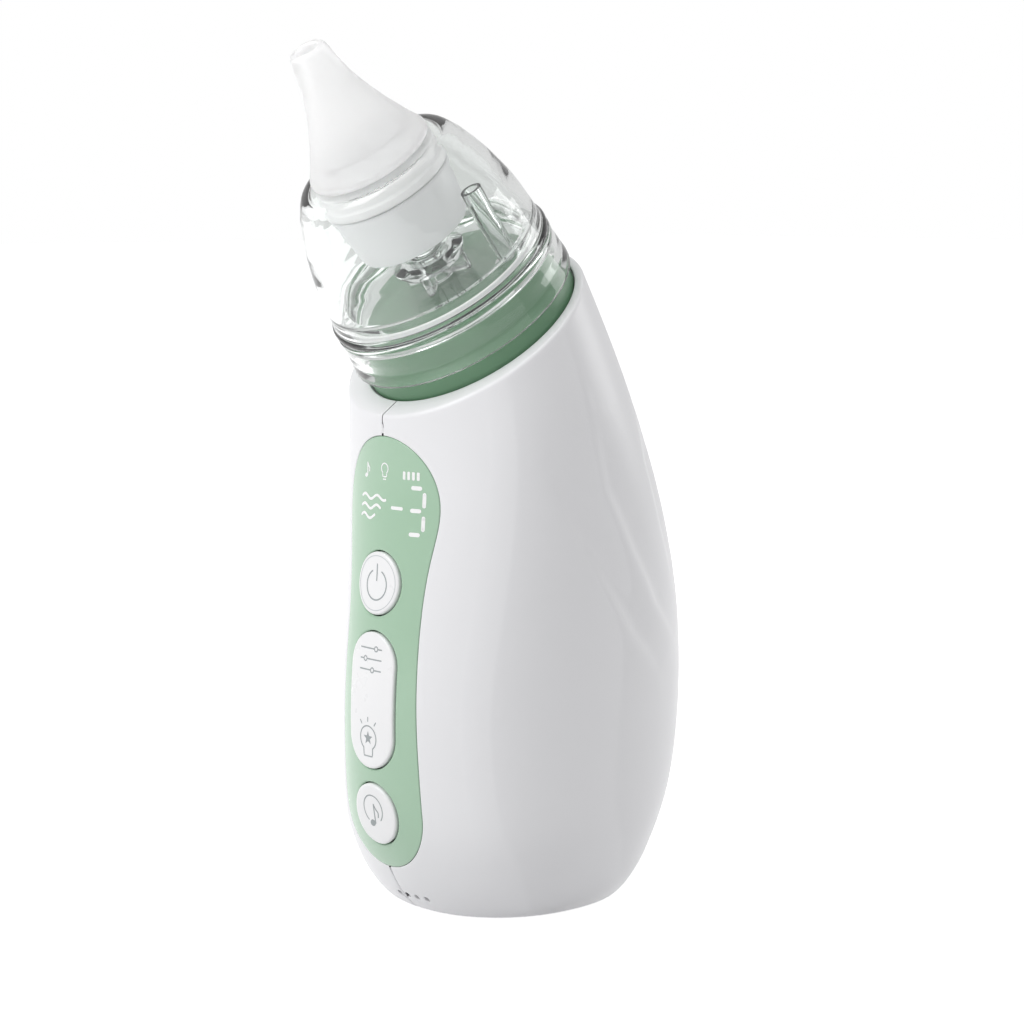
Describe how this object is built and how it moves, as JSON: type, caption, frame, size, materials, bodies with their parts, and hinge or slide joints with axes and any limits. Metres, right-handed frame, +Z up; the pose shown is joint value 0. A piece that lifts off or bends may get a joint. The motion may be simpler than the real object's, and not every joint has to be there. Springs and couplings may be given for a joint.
{
  "type": "nasal aspirator",
  "caption": "Hand-held electric nasal aspirator with a leaning neck, clear collection cup, soft nozzle and a front panel of buttons.",
  "frame": {"origin": "centre of the flat base, on the surface the aspirator stands on", "axes": "+Z up; the control panel faces -Y and the neck leans toward -Y; X = 0 is the parting plane of the two shells"},
  "size_m": [0.055, 0.0843, 0.1582],
  "materials": {
    "shell_white": "satin white moulded plastic",
    "panel_green": "sage green gloss plastic",
    "button_white": "satin white key caps with grey icons",
    "circuit_board": "green solder mask",
    "display": "white light block of the level display",
    "black_plastic": "moulded black plastic",
    "bright_steel": "bright steel",
    "battery_sleeve": "blue shrink sleeve",
    "black_rubber": "soft black rubber",
    "crank_plastic": "natural acetal",
    "inner_plastic": "pale moulded plastic",
    "felt": "grey sound-damping felt",
    "white_silicone": "translucent white silicone",
    "seat_green": "sage green satin plastic",
    "clear_plastic": "clear moulded plastic",
    "sleeve_grey": "frosted light grey plastic",
    "nozzle_silicone": "milky soft silicone"
  },
  "bodies": {
    "housing": {"left_shell": "shell_white", "right_shell": "shell_white", "control_panel": "panel_green", "button_board": "circuit_board", "display_module": "display", "power_switch": "black_plastic", "light_switch": "black_plastic", "level_switch": "black_plastic", "music_switch": "black_plastic", "main_board": "circuit_board", "charging_socket": "bright_steel", "speaker": "black_plastic", "battery_cell": "battery_sleeve", "pump_motor": "bright_steel", "motor_grommet": "black_rubber", "pump_housing": "inner_plastic", "pump_diaphragm": "black_rubber", "pump_valve_plate": "inner_plastic", "pump_cover": "inner_plastic", "exhaust_muffler": "felt", "chassis": "inner_plastic", "chassis_screw_1": "bright_steel", "chassis_screw_2": "bright_steel", "chassis_screw_3": "bright_steel", "chassis_screw_4": "bright_steel", "board_screw_1": "bright_steel", "board_screw_2": "bright_steel", "seat_gasket": "white_silicone", "pump_seat": "seat_green", "light_board": "circuit_board", "port_seal": "white_silicone", "suction_hose": "white_silicone"},
    "power_cap": {"power_button": "button_white"},
    "rocker_cap": {"level_light_rocker": "button_white"},
    "music_cap": {"music_button": "button_white"},
    "crank": {"pump_crank": "crank_plastic"},
    "cup": {"cup_base": "clear_plastic", "splash_baffle": "clear_plastic", "cup_seal": "white_silicone"},
    "dome": {"cup_dome": "clear_plastic", "neck_ring": "nozzle_silicone", "inlet_sleeve": "sleeve_grey"},
    "nozzle": {"nozzle_tip": "nozzle_silicone"}
  },
  "joints": [
    {"name": "cup_lift", "type": "slide", "parent": "housing", "child": "cup", "axis": [0, -0.6018, 0.7986], "range_m": [0, 0.035]},
    {"name": "dome_lift", "type": "slide", "parent": "cup", "child": "dome", "axis": [0, -0.6018, 0.7986], "range_m": [0, 0.035]},
    {"name": "tip_pull", "type": "slide", "parent": "dome", "child": "nozzle", "axis": [0, -0.6018, 0.7986], "range_m": [0, 0.02]},
    {"name": "power_press", "type": "slide", "parent": "housing", "child": "power_cap", "axis": [0, 1, 0], "range_m": [0, 0.0006], "stiffness_N_per_m": 800},
    {"name": "rocker_tilt", "type": "hinge", "parent": "housing", "child": "rocker_cap", "pos_m": [0, -0.0272, 0.0404], "axis": [1, 0, 0], "range_deg": [-2.5, 2.5], "stiffness_Nm_per_rad": 0.1},
    {"name": "music_press", "type": "slide", "parent": "housing", "child": "music_cap", "axis": [0, 1, 0], "range_m": [0, 0.0006], "stiffness_N_per_m": 800},
    {"name": "pump_spin", "type": "hinge", "parent": "housing", "child": "crank", "pos_m": [0, -0.0065, 0.0635], "axis": [0, 0, 1], "continuous": true}
  ]
}
